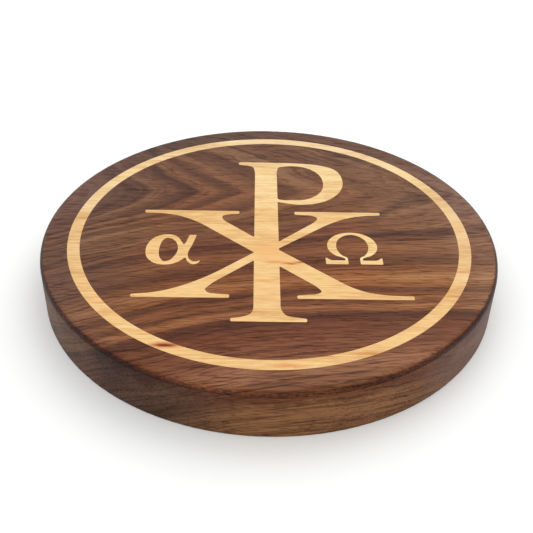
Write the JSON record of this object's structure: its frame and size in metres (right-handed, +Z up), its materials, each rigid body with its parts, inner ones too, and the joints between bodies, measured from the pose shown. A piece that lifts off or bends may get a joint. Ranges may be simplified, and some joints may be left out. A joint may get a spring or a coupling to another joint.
{
  "type": "offering plate",
  "caption": "Flat round walnut offering plate with a rounded top edge, a flush maple ring and flush maple Chi-Rho, alpha and omega inlays in its top face.",
  "frame": {"origin": "centre of the flat underside, on the plate's round axis", "axes": "+Z up out of the inlaid top face, +Y to the head of the letters, +X to the right as the letters are read, which is also the direction the grain runs"},
  "size_m": [0.254, 0.254, 0.0286],
  "materials": {
    "walnut": "satin oiled, open grain running along X",
    "maple": "satin oiled, fine closed grain running along X"
  },
  "bodies": {
    "root": {"walnut_plate": "walnut", "maple_ring": "maple", "maple_chi_rho": "maple", "maple_alpha": "maple", "maple_omega": "maple"}
  },
  "joints": []
}
